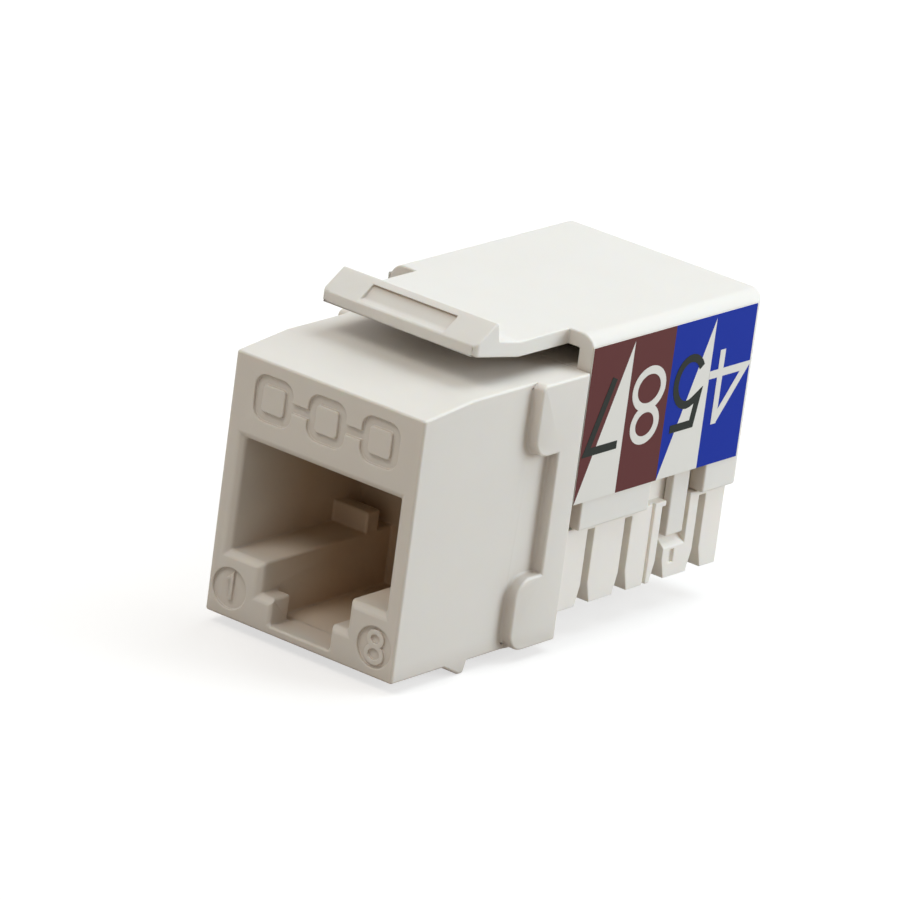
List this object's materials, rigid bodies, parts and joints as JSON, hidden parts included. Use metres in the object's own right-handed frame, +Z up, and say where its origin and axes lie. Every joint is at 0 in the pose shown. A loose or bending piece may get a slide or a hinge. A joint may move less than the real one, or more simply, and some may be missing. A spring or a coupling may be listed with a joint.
{
  "type": "keystone jack",
  "caption": "Modular network socket with a snap-in latch arm, flange stops, a labelled cover and punch-down wire towers for a wall plate or panel.",
  "frame": {"origin": "middle of the length and width, on the surface the jack stands on", "axes": "+Y from the plug port to the back, +X to the right seen from the port, +Z up"},
  "size_m": [0.016, 0.0316, 0.0215],
  "materials": {
    "housing_plastic": "moulded flame-retardant plastic, warm off-white, fine satin texture",
    "cover_plastic": "moulded plastic, cool white, satin",
    "block_plastic": "moulded plastic, off-white, slightly translucent, satin",
    "carrier_plastic": "moulded plastic, off-white, matt",
    "board_laminate": "glass-epoxy laminate with green solder mask",
    "gold_contact": "gold-plated phosphor bronze spring wire, polished",
    "tinned_blade": "tin-plated phosphor bronze, stamped",
    "label_film": "printed self-adhesive film"
  },
  "bodies": {
    "jack": {"jack_housing": "housing_plastic", "contact_carrier": "carrier_plastic", "circuit_board": "board_laminate", "wire_block": "block_plastic", "rear_cover": "cover_plastic", "idc_blade_left_1": "tinned_blade", "idc_blade_left_2": "tinned_blade", "idc_blade_left_3": "tinned_blade", "idc_blade_left_4": "tinned_blade", "idc_blade_right_1": "tinned_blade", "idc_blade_right_2": "tinned_blade", "idc_blade_right_3": "tinned_blade", "idc_blade_right_4": "tinned_blade", "label_left": "label_film", "label_right": "label_film"},
    "latch": {"latch_arm": "cover_plastic"},
    "contact_1": {"contact_wire_1": "gold_contact"},
    "contact_2": {"contact_wire_2": "gold_contact"},
    "contact_3": {"contact_wire_3": "gold_contact"},
    "contact_4": {"contact_wire_4": "gold_contact"},
    "contact_5": {"contact_wire_5": "gold_contact"},
    "contact_6": {"contact_wire_6": "gold_contact"},
    "contact_7": {"contact_wire_7": "gold_contact"},
    "contact_8": {"contact_wire_8": "gold_contact"}
  },
  "joints": [
    {"name": "latch_flex", "type": "hinge", "parent": "jack", "child": "latch", "pos_m": [0, -0.00114, 0.019], "axis": [1, 0, 0], "range_deg": [0, 8], "stiffness_Nm_per_rad": 0.3},
    {"name": "contact_1_flex", "type": "hinge", "parent": "jack", "child": "contact_1", "pos_m": [-0.00357, -0.01225, 0.01341], "axis": [1, 0, 0], "range_deg": [0, 9], "stiffness_Nm_per_rad": 0.05},
    {"name": "contact_2_flex", "type": "hinge", "parent": "jack", "child": "contact_2", "pos_m": [-0.00255, -0.01225, 0.01341], "axis": [1, 0, 0], "range_deg": [0, 9], "stiffness_Nm_per_rad": 0.05},
    {"name": "contact_3_flex", "type": "hinge", "parent": "jack", "child": "contact_3", "pos_m": [-0.00153, -0.01225, 0.01341], "axis": [1, 0, 0], "range_deg": [0, 9], "stiffness_Nm_per_rad": 0.05},
    {"name": "contact_4_flex", "type": "hinge", "parent": "jack", "child": "contact_4", "pos_m": [-0.00051, -0.01225, 0.01341], "axis": [1, 0, 0], "range_deg": [0, 9], "stiffness_Nm_per_rad": 0.05},
    {"name": "contact_5_flex", "type": "hinge", "parent": "jack", "child": "contact_5", "pos_m": [0.00051, -0.01225, 0.01341], "axis": [1, 0, 0], "range_deg": [0, 9], "stiffness_Nm_per_rad": 0.05},
    {"name": "contact_6_flex", "type": "hinge", "parent": "jack", "child": "contact_6", "pos_m": [0.00153, -0.01225, 0.01341], "axis": [1, 0, 0], "range_deg": [0, 9], "stiffness_Nm_per_rad": 0.05},
    {"name": "contact_7_flex", "type": "hinge", "parent": "jack", "child": "contact_7", "pos_m": [0.00255, -0.01225, 0.01341], "axis": [1, 0, 0], "range_deg": [0, 9], "stiffness_Nm_per_rad": 0.05},
    {"name": "contact_8_flex", "type": "hinge", "parent": "jack", "child": "contact_8", "pos_m": [0.00357, -0.01225, 0.01341], "axis": [1, 0, 0], "range_deg": [0, 9], "stiffness_Nm_per_rad": 0.05}
  ]
}
